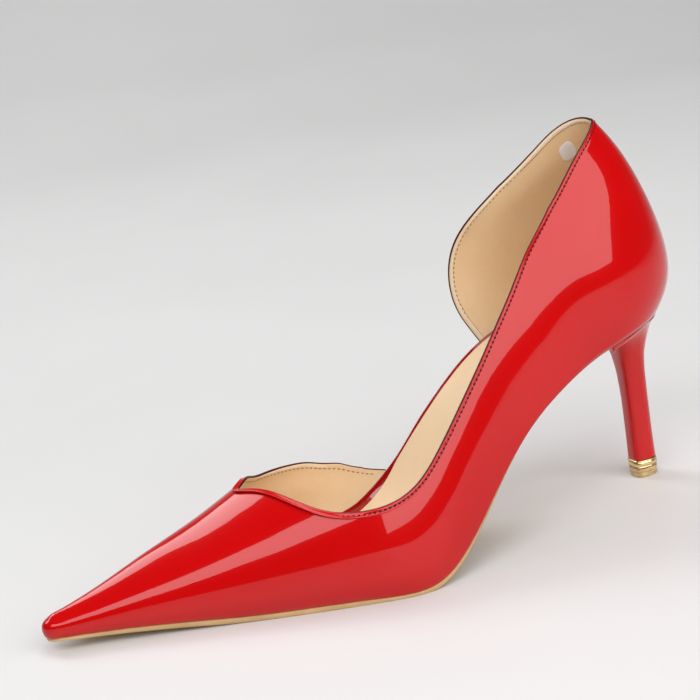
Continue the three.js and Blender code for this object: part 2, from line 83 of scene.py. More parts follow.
def spline(xs, ys, flat_end=False):
    """natural cubic spline; ys may hold arrays"""
    xs, ys = np.asarray(xs, float), np.asarray(ys, float)
    if ys.ndim > 2:
        flat = spline(xs, ys.reshape(len(ys), -1))
        return lambda x: flat(x).reshape(np.shape(x) + ys.shape[1:])
    n = len(xs)
    h = np.diff(xs)
    A = np.zeros((n, n)); d = np.zeros((n,) + ys.shape[1:])
    A[0, 0] = A[-1, -1] = 1
    for i in range(1, n - 1):
        A[i, i - 1], A[i, i], A[i, i + 1] = h[i - 1], 2 * (h[i - 1] + h[i]), h[i]
        d[i] = 6 * ((ys[i + 1] - ys[i]) / h[i] - (ys[i] - ys[i - 1]) / h[i - 1])
    if flat_end:
        A[-1, -2], A[-1, -1] = h[-1], 2 * h[-1]
        d[-1] = -6 * (ys[-1] - ys[-2]) / h[-1]
    m = np.linalg.solve(A, d)

    def at(x):
        q = np.clip(np.asarray(x, float), xs[0], xs[-1])
        i = np.clip(np.searchsorted(xs, q, side='left') - 1, 0, n - 2)
        H = h[i]; t = q - xs[i]; s = xs[i + 1] - q
        if ys.ndim > 1:
            H, t, s = H[..., None], t[..., None], s[..., None]
        return (m[i] * s ** 3 + m[i + 1] * t ** 3) / (6 * H) + (ys[i] / H - m[i] * H / 6) * s + (ys[i + 1] / H - m[i + 1] * H / 6) * t
    return at


def reach(y):
    y = np.maximum(np.asarray(y, float), 0)
    return np.sqrt(y * y + 40.0 * y)


_sec = np.array(SECTIONS, float)
_lastf = {k: spline(reach(_sec[:, 0]), _sec[:, i + 1], True) for i, k in enumerate(NAMES[1:])}
_b = np.array(BOTTOM, float)
bottom_z, bottom_twist = spline(_b[:, 0], _b[:, 1]), spline(_b[:, 0], _b[:, 2])
_i = np.array(INSOLE, float); insole_thick = spline(_i[:, 0], _i[:, 1])
_o = np.array(OUTSOLE, float); outsole_thick = spline(_o[:, 0], _o[:, 1]); outsole_inset = spline(_o[:, 0], _o[:, 2])


def last_at(name, y):
    return _lastf[name](reach(y))


def floor_at(x, y):
    s = np.clip(y, TOE_Y, HEEL_Y)
    mid = (last_at('footO', s) + last_at('footI', s)) / 2
    return bottom_z(y) - bottom_twist(y) * (x - mid) / 50


KNOTS = [0, 0, 0, 0, 1, 2, 3, 4, 5, 6, 7]


def last_point(station, side, up, inset=0.0):
    """Points of the last's surface in mm, tables' frame; all arguments broadcast to one length."""
    station, side, up, inset = np.broadcast_arrays(np.asarray(station, float), np.asarray(side, float), np.asarray(up, float), np.asarray(inset, float))
    shape = station.shape
    station, side, up, inset = [a.ravel() for a in (station, side, up, inset)]
    y = np.clip(station, TOE_Y, HEEL_Y)
    v = {k: last_at(k, y) for k in NAMES[1:]}
    out = side > 0
    own = lambda k: np.where(out, v[k + 'O'], v[k + 'I'])
    other = lambda k: np.where(out, v[k + 'I'], v[k + 'O'])
    toe = station < TOE_Y
    turn = np.where(toe, (station - TOE_Y) / TOE_Y, np.maximum(0, station - HEEL_Y) / (BACK - HEEL_Y))
    ca, sa = np.cos(turn * np.pi / 2), np.sin(turn * np.pi / 2)
    q = sa * sa
    end = {k: np.where(toe, TOE_END[k], HEEL_END[k]) for k in TOE_END}
    wide_h = v['wideH'] * (1 - q) + end['wideH'] * q
    top_h = v['topH'] * (1 - q) + end['topH'] * q
    half = lambda k: side * (own(k) - v['ridgeX'])
    mix = lambda a, b, t: a + (b - a) * t
    rows = lambda f, w, t: [f, mix(f, w, .62), w, mix(w, t, .30), t]
    rx = rows(half('foot'), half('wide'), half('top'))
    ry = rows(end['foot'], end['wide'], end['top'])
    h = [0 * y, .32 * wide_h, wide_h, mix(wide_h, top_h, .62), top_h, v['ridgeH']]
    hi, lo = np.minimum(y + 1, HEEL_Y), np.maximum(y - 1, TOE_Y)
    slope = (np.where(out, last_at('footO', hi), last_at('footI', hi)) - np.where(out, last_at('footO', lo), last_at('footI', lo))) / 2
    ease = np.where(turn == 0, np.minimum(1, (y - TOE_Y) / 10) * np.minimum(1, (HEEL_Y - y) / 10), 0)
    k = 1 + (np.sqrt(1 + slope * slope) - 1) * ease
    r = [a * (1 - q) + b * q for a, b in zip(rx, ry)] + [0 * y]

    def normal(i, j):
        dr, dh = r[i] - r[j], h[j] - h[i]
        l = np.hypot(dr, dh)
        return dh / l, dr / l
    n = [(1, 0), (1, 0), (1, 0), normal(2, 4), normal(3, 5)]
    lean = np.radians(v['lean'])
    direction = np.sign(turn)

    def place(x, py, height, lift):
        return np.stack([x, py - height * np.sin(lean), floor_at(x, lift) + height * np.cos(lean)], -1)
    ring = []
    for i in range(5):
        px = v['ridgeX'] + side * (rx[i] - inset * k * n[i][0]) * ca
        py = y + direction * (ry[i] - inset * n[i][0]) * np.abs(sa)
        ring.append(place(px, py, h[i] - inset * n[i][1], y + direction * ry[i] * np.abs(sa)))
    ring.append(place(v['ridgeX'], y, v['ridgeH'] - inset * 1.08, y))
    sh = ring[4]
    across = -side * (other('top') - v['ridgeX']) - inset * k * n[4][0]
    a = place(v['ridgeX'] - side * across, y, top_h - inset * n[4][1], y)
    b = np.stack([2 * v['ridgeX'] - sh[:, 0], 2 * (y - (h[4] - inset * n[4][1]) * np.sin(lean)) - sh[:, 1], sh[:, 2]], -1)
    ring.append(np.where((turn == 0)[:, None], a, b))
    ring = np.stack(ring, 0)
    x = np.clip(up, 0, 1) * 4
    i = np.minimum(np.floor(x), 3).astype(int) + 3
    rows_i = np.arange(len(x))
    w = [ring[i - 3 + j, rows_i] for j in range(4)]
    K = np.array(KNOTS, float)
    for rr in range(1, 4):
        for j in range(3, rr - 1, -1):
            a_ = (x - K[j + i - 3]) / (K[j + 1 + i - rr] - K[j + i - 3])
            w[j] = w[j - 1] * (1 - a_[:, None]) + w[j] * a_[:, None]
    return w[3].reshape(shape + (3,))


def row(p):
    """tables' frame in mm to row frame in metres"""
    return (np.asarray(p, float) - np.array([CX, CY, 0.0])) * MM


# ---------------------------------------------------------------- mesh helpers
def make(name, verts, faces, mat, smooth=True, merge=0.0):
    me = bpy.data.meshes.new(name)
    me.from_pydata([tuple(v) for v in np.asarray(verts)], [], [tuple(int(i) for i in f) for f in faces])
    me.validate()
    ob = bpy.data.objects.new(name, me)
    bpy.context.scene.collection.objects.link(ob)
    if merge:
        import bmesh
        bm = bmesh.new(); bm.from_mesh(me)
        bmesh.ops.remove_doubles(bm, verts=bm.verts, dist=merge)
        bmesh.ops.dissolve_degenerate(bm, edges=bm.edges, dist=1e-8)
        bmesh.ops.recalc_face_normals(bm, faces=bm.faces)
        bm.to_mesh(me); bm.free()
    if smooth:
        for p in me.polygons:
            p.use_smooth = True
    me.materials.append(mat)
    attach(ob, "root")
    return ob


def grid_faces(n, m, base=0, closed=False, flip=False):
    """faces of n rows of m points; closed joins the last point of each row to its first"""
    out = []
    for i in range(n - 1):
        for j in range(m if closed else m - 1):
            k = (j + 1) % m
            f = [base + i * m + j, base + (i + 1) * m + j, base + (i + 1) * m + k, base + i * m + k]
            out.append(f[::-1] if flip else f)
    return out


def tube(path, normals, profile, cap=True):
    """sweeps a closed profile of (across, out) pairs along path; normals give 'out'"""
    path = np.asarray(path, float); N = np.asarray(normals, float)
    T = np.gradient(path, axis=0); T /= np.linalg.norm(T, axis=1, keepdims=True) + 1e-12
    N = N - (N * T).sum(1, keepdims=True) * T; N /= np.linalg.norm(N, axis=1, keepdims=True) + 1e-12
    S = np.cross(N, T)
    prof = np.asarray(profile, float)
    if prof.ndim == 2:
        prof = np.broadcast_to(prof, (len(path),) + prof.shape)
    V = path[:, None] + S[:, None] * prof[:, :, :1] + N[:, None] * prof[:, :, 1:]
    m = prof.shape[1]
    F = grid_faces(len(path), m, closed=True)
    if cap:
        F += [list(range(m))[::-1][::-1], [(len(path) - 1) * m + j for j in range(m)][::-1]]
    return V.reshape(-1, 3), F


def join(parts):
    V, F, n = [], [], 0
    for v, f in parts:
        V.append(np.asarray(v)); F += [[i + n for i in q] for q in f]; n += len(v)
    return np.concatenate(V), F


# ---------------------------------------------------------------- materials
def material(name):
    m = bpy.data.materials.new(name); m.use_nodes = True
    nt = m.node_tree
    return m, nt, nt.nodes["Principled BSDF"]


def node(nt, kind, **values):
    n = nt.nodes.new(kind)
    for k, v in values.items():
        if k in n.inputs:
            n.inputs[k].default_value = v
        else:
            setattr(n, k, v)
    return n


def ramp(nt, stops):
    r = nt.nodes.new("ShaderNodeValToRGB")
    e = r.color_ramp.elements
    while len(e) < len(stops):
        e.new(0.5)
    for k, (p, c) in zip(e, stops):
        k.position = p; k.color = c
    return r


def coords(nt, scale=(1, 1, 1)):
    t = nt.nodes.new("ShaderNodeTexCoord")
    mp = nt.nodes.new("ShaderNodeMapping"); mp.inputs["Scale"].default_value = scale
    nt.links.new(t.outputs["Object"], mp.inputs["Vector"])
    return mp.outputs["Vector"]


def bumps(nt, bsdf, layers, coat=False):
    """layers: (height output, strength, distance in m)"""
    prev = None
    for h, s, d in layers:
        b = node(nt, "ShaderNodeBump", Strength=s, Distance=d)
        nt.links.new(h, b.inputs["Height"])
        if prev:
            nt.links.new(prev, b.inputs["Normal"])
        prev = b.outputs["Normal"]
    nt.links.new(prev, bsdf.inputs["Normal"])
    if coat:
        nt.links.new(prev, bsdf.inputs["Coat Normal"])


def patent_material(name, base=(0.550, 0.0005, 0.0009), dark=(0.385, 0.0003, 0.0005), rough=0.20):
    m, nt, b = material(name)
    v = coords(nt)
    cloud = node(nt, "ShaderNodeTexNoise", Scale=22.0, Detail=3.0, Roughness=0.55)
    nt.links.new(v, cloud.inputs["Vector"])
    r = ramp(nt, [(0.30, dark + (1,)), (0.62, base + (1,))])
    nt.links.new(cloud.outputs["Fac"], r.inputs["Fac"])
    mx = node(nt, "ShaderNodeMix", data_type='RGBA'); mx.inputs[0].default_value = 0.22
    mx.inputs[6].default_value = base + (1,)
    nt.links.new(r.outputs["Color"], mx.inputs[7])
    nt.links.new(mx.outputs[2], b.inputs["Base Color"])
    b.inputs["Specular IOR Level"].default_value = 0.06
    b.inputs["Coat Weight"].default_value = 0.8
    b.inputs["Coat Roughness"].default_value = 0.03
    b.inputs["Coat IOR"].default_value = 1.5
    fine = node(nt, "ShaderNodeTexNoise", Scale=900.0, Detail=2.0)
    nt.links.new(v, fine.inputs["Vector"])
    rr = node(nt, "ShaderNodeMapRange"); rr.inputs["To Min"].default_value = rough - 0.03; rr.inputs["To Max"].default_value = rough + 0.06
    nt.links.new(fine.outputs["Fac"], rr.inputs["Value"])
    nt.links.new(rr.outputs["Result"], b.inputs["Roughness"])
    wave = node(nt, "ShaderNodeTexNoise", Scale=38.0, Detail=1.5, Roughness=0.4)
    nt.links.new(v, wave.inputs["Vector"])
    peel = node(nt, "ShaderNodeTexNoise", Scale=260.0, Detail=1.0)
    nt.links.new(v, peel.inputs["Vector"])
    bumps(nt, b, [(wave.outputs["Fac"], 0.35, 0.0007), (peel.outputs["Fac"], 0.12, 0.00006)], coat=True)
    return m


def leather_material(name, light, dark, rough=0.5, grain=700.0, strength=0.25, mottle=30.0, spec=0.35):
    m, nt, b = material(name)
    v = coords(nt)
    n1 = node(nt, "ShaderNodeTexNoise", Scale=mottle, Detail=4.0, Roughness=0.6)
    nt.links.new(v, n1.inputs["Vector"])
    r = ramp(nt, [(0.32, dark + (1,)), (0.68, light + (1,))])
    nt.links.new(n1.outputs["Fac"], r.inputs["Fac"])
    n2 = node(nt, "ShaderNodeTexNoise", Scale=2600.0, Detail=2.0)
    nt.links.new(v, n2.inputs["Vector"])
    mx = node(nt, "ShaderNodeMix", data_type='RGBA', blend_type='MULTIPLY'); mx.inputs[0].default_value = 0.16
    nt.links.new(r.outputs["Color"], mx.inputs[6]); nt.links.new(n2.outputs["Fac"], mx.inputs[7])
    nt.links.new(mx.outputs[2], b.inputs["Base Color"])
    b.inputs["Specular IOR Level"].default_value = spec
    rr = node(nt, "ShaderNodeMapRange"); rr.inputs["To Min"].default_value = rough - 0.08; rr.inputs["To Max"].default_value = rough + 0.1
    nt.links.new(n1.outputs["Fac"], rr.inputs["Value"]); nt.links.new(rr.outputs["Result"], b.inputs["Roughness"])
    vor = node(nt, "ShaderNodeTexVoronoi", Scale=grain)
    nt.links.new(v, vor.inputs["Vector"])
    soft = node(nt, "ShaderNodeTexNoise", Scale=55.0, Detail=2.0)
    nt.links.new(v, soft.inputs["Vector"])
    bumps(nt, b, [(soft.outputs["Fac"], 0.25, 0.0006), (vor.outputs["Distance"], strength, 0.00012)])
    return m


def thread_material(name, colour, rough=0.55):
    m, nt, b = material(name)
    v = coords(nt)
    w = node(nt, "ShaderNodeTexNoise", Scale=3200.0, Detail=1.0)
    nt.links.new(v, w.inputs["Vector"])
    r = ramp(nt, [(0.3, tuple(c * 0.55 for c in colour) + (1,)), (0.7, colour + (1,))])
    nt.links.new(w.outputs["Fac"], r.inputs["Fac"]); nt.links.new(r.outputs["Color"], b.inputs["Base Color"])
    b.inputs["Roughness"].default_value = rough
    b.inputs["Specular IOR Level"].default_value = 0.2
    bumps(nt, b, [(w.outputs["Fac"], 0.5, 0.00008)])
    return m


def metal_material(name, colour, rough):
    m, nt, b = material(name)
    v = coords(nt, (1, 1, 14))
    w = node(nt, "ShaderNodeTexNoise", Scale=500.0, Detail=2.0)
    nt.links.new(v, w.inputs["Vector"])
    r = ramp(nt, [(0.25, tuple(c * 0.78 for c in colour) + (1,)), (0.75, colour + (1,))])
    nt.links.new(w.outputs["Fac"], r.inputs["Fac"]); nt.links.new(r.outputs["Color"], b.inputs["Base Color"])
    b.inputs["Metallic"].default_value = 1.0
    rr = node(nt, "ShaderNodeMapRange"); rr.inputs["To Min"].default_value = rough - 0.06; rr.inputs["To Max"].default_value = rough + 0.12
    nt.links.new(w.outputs["Fac"], rr.inputs["Value"]); nt.links.new(rr.outputs["Result"], b.inputs["Roughness"])
    bumps(nt, b, [(w.outputs["Fac"], 0.15, 0.00005)])
    return m


PATENT = patent_material("patent_red")
# painted shade: dark red for the fold along the top edge, standing in for the shade there
FOLD_EDGE_SHADE = thread_material("fold_edge_painted_shade_red", (0.075, 0.005, 0.006), rough=0.42)
PATENT_HEEL = patent_material("patent_red_heel", base=(0.570, 0.0005, 0.0009), dark=(0.400, 0.0003, 0.0005))
# painted shade: the same red patent painted darker for the wrapped rim inside the shoe
PATENT_WRAP_SHADE = patent_material("patent_red_wrap_painted_shade", base=(0.33, 0.0005, 0.0010), dark=(0.23, 0.0003, 0.0006))
LINING = leather_material("lining_beige", (0.95, 0.71, 0.44), (0.88, 0.62, 0.35), rough=0.48, grain=1500.0, strength=0.12, mottle=24.0)
SOCK = leather_material("sock_beige", (0.90, 0.67, 0.42), (0.83, 0.59, 0.35), rough=0.46, grain=1100.0, strength=0.16, mottle=20.0)
SOLE = leather_material("sole_tan", (0.70, 0.46, 0.22), (0.55, 0.34, 0.14), rough=0.42, grain=600.0, strength=0.2, mottle=60.0, spec=0.45)
# pale colour for the lining's folded edge; on the sock's sides it is a painted highlight
PALE_EDGE_AND_HIGHLIGHT = leather_material("pale_edge_and_painted_highlight", (0.96, 0.84, 0.68), (0.90, 0.74, 0.54), rough=0.5, grain=1500.0, strength=0.1, mottle=60.0)
THREAD = thread_material("thread_dark_red", (0.12, 0.001, 0.003))
THREAD_TAN = thread_material("thread_tan", (0.42, 0.24, 0.11))
# dark colour for the seam lines; in the needle holes it is painted shade
EDGE = thread_material("dark_line_and_painted_hole_shade", (0.045, 0.004, 0.006), rough=0.4)
GOLD = metal_material("gold_ferrule", (0.93, 0.70, 0.36), 0.2)

# ---------------------------------------------------------------- topline curves
def edge_curve(table):
    a = np.array(table, float)
    f = spline(np.arange(len(a)), a)
    return lambda s: f(np.asarray(s) * (len(a) - 1))


outer_edge, vamp_edge, wing_edge = edge_curve(OUTER_EDGE), edge_curve(VAMP_EDGE), edge_curve(WING_EDGE)


def even(curve, side, n):
    """parameters that space a top edge evenly"""
    s = np.linspace(0, 1, 1500); c = curve(s)
    p = last_point(c[:, 1], side, np.clip(c[:, 2], 0, 1))
    d = np.concatenate([[0], np.cumsum(np.linalg.norm(np.diff(p, axis=0), axis=1))])
    return curve(np.interp(np.linspace(0, d[-1], n), d, s))


cut_t = np.linspace(0, 1, 14)[1:]
corner = vamp_edge(1.0)
cut = np.stack([corner[0] + (CORNER - corner[0]) * cut_t, corner[1] + (CORNER - corner[1]) * cut_t ** 1.15, corner[2] * (1 - cut_t)], -1)
vamp_cols = np.concatenate([np.linspace(0, 6, 15), np.linspace(6, 24, 16)[1:], np.linspace(24, THROAT, 34)[1:]])
vamp_cols = np.stack([vamp_cols, vamp_cols, np.ones_like(vamp_cols)], -1)
cols_outer = np.concatenate([vamp_cols, even(outer_edge, 1, 190)[1:]])
cols_vamp = np.concatenate([vamp_cols, even(vamp_edge, -1, 70)[1:], cut])
cols_wing = even(wing_edge, -1, 110)
R = 40


def sheet(cols, side, inset):
    t = np.linspace(0, 1, R + 1)
    foot, along, up = cols[:, :1], cols[:, 1:2], np.clip(cols[:, 2:3], 0, 1)
    st = foot + (along - foot) * t; u = up * t
    seam = ((u > 0.9999) & (st <= THROAT)) | (st <= 0) | (st >= BACK - 1e-6)
    sd = np.where(seam, 1.0, side)
    st = np.where(u > 0.9999, np.maximum(st, TOE_Y), st)
    return last_point(st, sd, u, inset)


# the whole top edge as one path: sole behind the vamp, throat, outer side, back seam, counter, sole
path = np.concatenate([
    np.concatenate([even(vamp_edge, -1, 130), cut])[::-1],
    even(outer_edge, 1, 330)[1:],
    even(wing_edge, -1, 190)[::-1][1:]])
path_side = np.concatenate([-np.ones(130 + len(cut)), np.ones(329), -np.ones(189)])
path_up = np.clip(path[:, 2], 0, 1)


def surf(st, up, side, inset=0.0):
    """surface point where up may pass over the crest to the other side"""
    over = up > 1
    return last_point(np.clip(st, 0, BACK), np.where(over, -side, side), np.where(over, 2 - up, up), inset)


def frame_on(st, up, side):
    P = surf(st, up, side)
    N = P - surf(st, up, side, 1.0)
    N /= np.linalg.norm(N, axis=-1, keepdims=True)
    return P, N


E, EN = frame_on(path[:, 1], path_up, path_side)
ET = np.gradient(E, axis=0); ET /= np.linalg.norm(ET, axis=1, keepdims=True)
ES = np.cross(ET, EN); ES /= np.linalg.norm(ES, axis=1, keepdims=True)
i0 = 130 + len(cut) + 150
down = surf(path[i0, 1], path_up[i0] - 0.05, path_side[i0]) - E[i0]
if np.dot(down, ES[i0]) < 0:
    ES = -ES


def offset(s):
    """points of the surface at s mm from the top edge, as (station, up)"""
    st, up = path[:, 1].copy(), path_up.copy()
    side = path_side
    target = E + ES * s
    for _ in range(8):
        P = surf(st, up, side)
        a = (surf(st + 0.05, up, side) - surf(st - 0.05, up, side)) / 0.1
        b = (surf(st, up + 0.001, side) - surf(st, up - 0.001, side)) / 0.002
        r = target - P
        aa, ab, bb = (a * a).sum(1) + 1e-6, (a * b).sum(1), (b * b).sum(1) + 1e-3
        ga, gb = (a * r).sum(1), (b * r).sum(1)
        det = aa * bb - ab * ab + 1e-9
        st = st + np.clip((bb * ga - ab * gb) / det, -3, 3)
        up = np.clip(up + np.clip((aa * gb - ab * ga) / det, -0.05, 0.05), 0, 1.5)
    return st, up


def nearest(P, Q):
    """distance from each of P to the polyline points Q"""
    out = np.empty(len(P))
    for k in range(0, len(P), 2000):
        out[k:k + 2000] = np.sqrt(((P[k:k + 2000, None] - Q[None]) ** 2).sum(-1)).min(1)
    return out


def shell(name, inset_a, inset_b, mat, thin=None):
    """three sheets of the upper between two depths, welded at crest, toe and back;
    thin is the depth to which the inner one comes up at the top edge"""
    parts = []
    for cols, side in ((cols_outer, 1), (cols_vamp, -1), (cols_wing, -1)):
        A = sheet(cols, side, inset_a)
        n, m = A.shape[:2]
        deep = np.full((n, m), float(inset_b))
        if thin is not None:
            d = nearest(A.reshape(-1, 3), E[::2]).reshape(n, m)
            q = np.clip(d / 11.0, 0, 1); q = q * q * (3 - 2 * q)
            deep = thin + (inset_b - thin) * q
        B = sheet(cols, side, deep)
        va = row(A).reshape(-1, 3); vb = row(B).reshape(-1, 3)
        f = grid_faces(n, m, flip=side < 0) + grid_faces(n, m, base=n * m, flip=side > 0)
        foot = [i * m for i in range(n)]; top = [i * m + m - 1 for i in range(n)]
        for k, line in enumerate((foot, top)):
            for a, b in zip(line[:-1], line[1:]):
                if k == 1 and cols[a // m, 0] < THROAT - 1e-6:
                    continue
                f.append([a, b, b + n * m, a + n * m])
        if cols is not cols_outer:
            e = n - 1 if cols is cols_vamp else 0
            for j in range(m - 1):
                a, b = e * m + j, e * m + j + 1
                f.append([a, b, b + n * m, a + n * m])
        parts.append((np.concatenate([va, vb]), f))
    V, F = join(parts)
    return make(name, V, F, mat, merge=2e-6)


def relax_toe(ob, rounds=18):
    """evens out the vertices about the tip, where the surface's rows run together"""
    import bmesh
    bm = bmesh.new(); bm.from_mesh(ob.data)
    free = [(v, min(1.0, max(0.0, (15.0 - (v.co.y / MM + CY)) / 8.0))) for v in bm.verts if v.co.y / MM + CY < 15.0]
    rim = {e.verts[0].index for e in bm.edges if e.is_boundary} | {e.verts[1].index for e in bm.edges if e.is_boundary}
    near = [(v, w, [e.other_vert(v) for e in v.link_edges]) for v, w in free if v.index not in rim]
    near = [q for q in near if len(q[2]) > 2]
    at = np.array([tuple(q[0].co) for q in near]) / MM
    low = np.clip((at[:, 2] - floor_at(at[:, 0] + CX, at[:, 1] + CY)) / 1.6, 0, 1)
    for _ in range(rounds):
        new = []
        for (v, w, nb), k in zip(near, low):
            c = sum((n.co for n in nb), Vector()) / len(nb)
            new.append((v, v.co + (c - v.co) * 0.5 * w * k))
        for v, c in new:
            v.co = c
    # the rounding takes a little off the tip; this gives it back
    for (v, w, nb), k in zip(near, low):
        y = v.co.y / MM + CY
        h = v.co.z / MM - 5.8
        q = min(1.0, max(0.0, 1 - h / 4.5))
        v.co.z += 0.0004 * k * math.exp(-((y - 3.0) / 5.0) ** 2)
        v.co.y -= (0.0002 + 0.0005 * q * q * (3 - 2 * q)) * w * w
    bm.to_mesh(ob.data); bm.free()


upper = shell("upper_patent", 0.0, 0.8, PATENT)
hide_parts("upper")
lining = shell("upper_lining", 0.85, 2.0, LINING, thin=1.15)
relax_toe(upper)
relax_toe(lining)

# a small bare label on the counter's lining, inner side
lt = np.linspace(0, 2 * np.pi, 37)[:-1]
lc, ls = np.sign(np.cos(lt)) * np.abs(np.cos(lt)) ** 0.6, np.sign(np.sin(lt)) * np.abs(np.sin(lt)) ** 0.6


def label_ring(r, lift):
    st_, up_ = 229.7 + 2.7 * r * lc, 0.648 + 0.033 * r * ls
    d_ = np.clip(nearest(last_point(st_, -1, up_), E[::2]) / 11.0, 0, 1)
    return last_point(st_, -1, up_, 1.15 + 0.85 * d_ * d_ * (3 - 2 * d_) + lift)


LABEL = leather_material("label_pale", (0.97, 0.97, 0.98), (0.90, 0.90, 0.91), rough=0.55, grain=1500.0, strength=0.06)
lr = [label_ring(0.96, -0.2), label_ring(1.0, 0.1), label_ring(0.97, 0.2), label_ring(0.88, 0.26), label_ring(0.5, 0.27)]
V = np.concatenate(lr + [[lr[0].mean(0)], [lr[-1].mean(0)]])
F = grid_faces(5, 36, closed=True) + [[j, (j + 1) % 36, 180] for j in range(36)] + [[144 + (j + 1) % 36, 144 + j, 181] for j in range(36)]
make("counter_label", row(V), F, LABEL)

# the patent is folded over the top edge; the lining's own folded edge lies inside it
def sweep_edge(name, profile, mat, dark=None, dark_mat=None):
    """closed profile of (down the wall, out of it) swept along the top edge; dark: the profile
    segments that get dark_mat"""
    prof = np.array(profile, float)
    V = row(E[:, None] + ES[:, None] * prof[None, :, :1] + EN[:, None] * prof[None, :, 1:])
    m = len(prof)
    F = grid_faces(len(E), m, closed=True) + [list(range(m)), [(len(E) - 1) * m + j for j in range(m)][::-1]]
    ob = make(name, V.reshape(-1, 3), F, mat)
    if dark:
        ob.data.materials.append(dark_mat)
        for p_ in ob.data.polygons:
            if p_.index < (len(E) - 1) * m and p_.index % m in dark:
                p_.material_index = 1
    return ob


# profile segments 7 to 12, over the fold's rounded top and down its inner face, are painted dark red as shade along
# the edge
sweep_edge("upper_topline_fold", [(2.25, -0.08), (2.05, 0.07), (1.8, 0.15), (1.5, 0.06), (1.15, 0.01), (0.85, 0.05), (0.5, 0.12), (0.15, 0.06), (-0.12, -0.1), (-0.26, -0.35), (-0.26, -0.62),
                                  (-0.1, -0.82), (0.2, -0.9), (0.7, -0.86), (1.3, -0.5)], PATENT, (7, 8, 9, 10, 11, 12), FOLD_EDGE_SHADE)
sweep_edge("lining_topline_fold", [(0.6, -0.78), (0.42, -0.84), (0.3, -0.98), (0.36, -1.18), (0.58, -1.3), (1.0, -1.31), (1.5, -1.25), (2.0, -1.14), (1.6, -0.9)], PALE_EDGE_AND_HIGHLIGHT)


# the back seam, a fine line from the top edge down to the heel
ib = int(np.argmax(path[:, 1]))
seam = [E[ib] + ES[ib] * a + EN[ib] * b for a, b in ((0.3, -0.92), (-0.1, -0.85), (-0.29, -0.63), (-0.29, -0.34), (-0.13, -0.07), (0.15, 0.09), (0.6, 0.12), (1.2, 0.09))]
seam = np.concatenate([seam, last_point(BACK, 1, np.linspace(path_up[ib] - 0.045, 0.0, 70), 0.05)])
g = np.linspace(0, 2 * np.pi, 9)[:-1]
V, F = tube(seam, np.tile([1.0, 0, 0], (len(seam), 1)), np.stack([np.cos(g) * 0.13, np.sin(g) * 0.13], -1))
make("back_seam_line", row(V), F, EDGE)


def resample(P, N, step):
    d = np.concatenate([[0], np.cumsum(np.linalg.norm(np.diff(P, axis=0), axis=1))])
    n = max(2, int(round(d[-1] / step)))
    t = np.linspace(0, d[-1], n + 1)
    f = lambda A: np.stack([np.interp(t, d, A[:, k]) for k in range(3)], -1)
    return f(P), f(N)


def stitches(name, P, N, pitch, length, width, height, mat, sink=0.0):
    """one rounded stitch every pitch mm along P, lying on the surface with normal N"""
    A, B = resample(P, N, pitch)
    parts = []
    ring = np.linspace(0, 2 * np.pi, 8, endpoint=False)
    stations = np.array([-1, -0.86, -0.5, 0, 0.5, 0.86, 1.0])
    for a, b, n in zip(A[:-1], A[1:], B[:-1]):
        t = b - a; L = np.linalg.norm(t)
        if L < 1e-6:
            continue
        t /= L; n = n - np.dot(n, t) * t; n /= np.linalg.norm(n); s = np.cross(n, t)
        mid = (a + b) / 2
        V = []
        for q in stations:
            w = math.sqrt(max(0.02, 1 - abs(q) ** 2.6))
            c = mid + t * q * length / 2 - n * (sink + height * 0.55 * q * q)
            for g in ring:
                V.append(c + s * math.cos(g) * width / 2 * w + n * math.sin(g) * height / 2 * w)
        F = grid_faces(len(stations), 8, closed=True)
        F += [list(range(8)), [(len(stations) - 1) * 8 + j for j in range(8)][::-1]]
        parts.append((np.array(V), F))
    V, F = join(parts)
    return make(name, row(V), F, mat, merge=1e-8)


def trimmed(s, inset, a, b):
    st, up = offset(s)
    P = surf(st, up, path_side, inset)
    Q = surf(st, up, path_side, inset + 0.5)
    N = P - Q; N /= np.linalg.norm(N, axis=1, keepdims=True)
    return P[a:b], N[a:b]


lo, hi = 6, len(E) - 6
P, N = trimmed(1.15, 0.0, lo, hi)
stitches("topline_stitches", P, N, 1.75, 1.2, 0.7, 0.5, THREAD, sink=-0.08)
# needle holes between the stitches, dark inside as painted shade
A, B = resample(P, N, 1.75)
parts = []
for a, n in zip(A, B):
    t = np.cross(n, [0.3, 0.2, 0.93]); t /= np.linalg.norm(t); s = np.cross(n, t)
    g = np.linspace(0, 2 * np.pi, 11)[:-1]
    rim_ = lambda r, h: a + n * h + r * (np.cos(g)[:, None] * t + np.sin(g)[:, None] * s)
    V = np.concatenate([rim_(0.27, 0.02), rim_(0.18, 0.05), [a - n * 0.1], [a - n * 0.12]])
    parts.append((V, [[j, (j + 1) % 10, 10 + (j + 1) % 10, 10 + j] for j in range(10)] + [[10 + j, 10 + (j + 1) % 10, 20] for j in range(10)]
                  + [[(j + 1) % 10, j, 21] for j in range(10)]))
V, F = join(parts)
make("topline_needle_holes", row(V), F, EDGE, smooth=False)
# the same seam on the lining's face
stl, upl = offset(1.6)
deepl = 1.26
P2 = surf(stl, upl, path_side, deepl); N2 = P2 - surf(stl, upl, path_side, deepl + 0.5)
N2 /= np.linalg.norm(N2, axis=1, keepdims=True)
stitches("lining_stitches", (P2 - N2 * 0.02)[lo:hi], -N2[lo:hi], 1.75, 1.2, 0.4, 0.3, THREAD_TAN)

